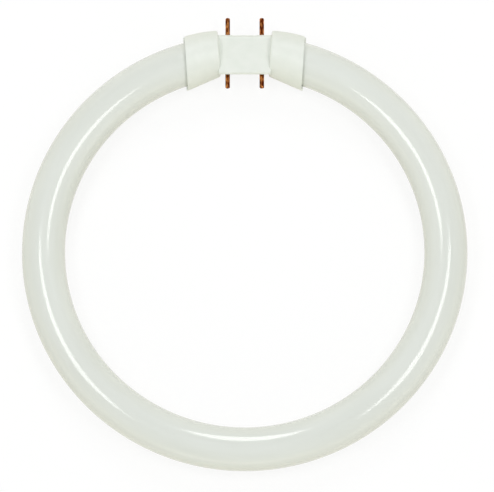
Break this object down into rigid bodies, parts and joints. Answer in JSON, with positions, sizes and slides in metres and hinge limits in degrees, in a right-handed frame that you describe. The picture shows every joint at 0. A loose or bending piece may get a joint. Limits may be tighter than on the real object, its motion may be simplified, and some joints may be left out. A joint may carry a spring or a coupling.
{
  "type": "circular fluorescent tube",
  "caption": "Ring-shaped fluorescent tube: a white glass tube bent to a circle, with a moulded base that closes its ends and contact pins that stand out of the base both ways.",
  "frame": {"origin": "centre of the glass ring, on the tube's mid-plane", "axes": "+Z along the ring's axis, towards the front; +Y from the ring's centre to the base; +X to the right seen from the front"},
  "size_m": [0.305, 0.3172, 0.0376],
  "materials": {
    "opal_glass": "gloss",
    "white_plastic": "satin",
    "contact_brass": "satin",
    "lead_wire": "satin"
  },
  "bodies": {
    "root": {"glass_tube": "opal_glass", "front_shell": "white_plastic", "rear_shell": "white_plastic", "outer_left_pin": "contact_brass", "outer_right_pin": "contact_brass", "inner_left_pin": "contact_brass", "inner_right_pin": "contact_brass", "left_outer_lead": "lead_wire", "left_inner_lead": "lead_wire", "right_outer_lead": "lead_wire", "right_inner_lead": "lead_wire"}
  },
  "joints": []
}
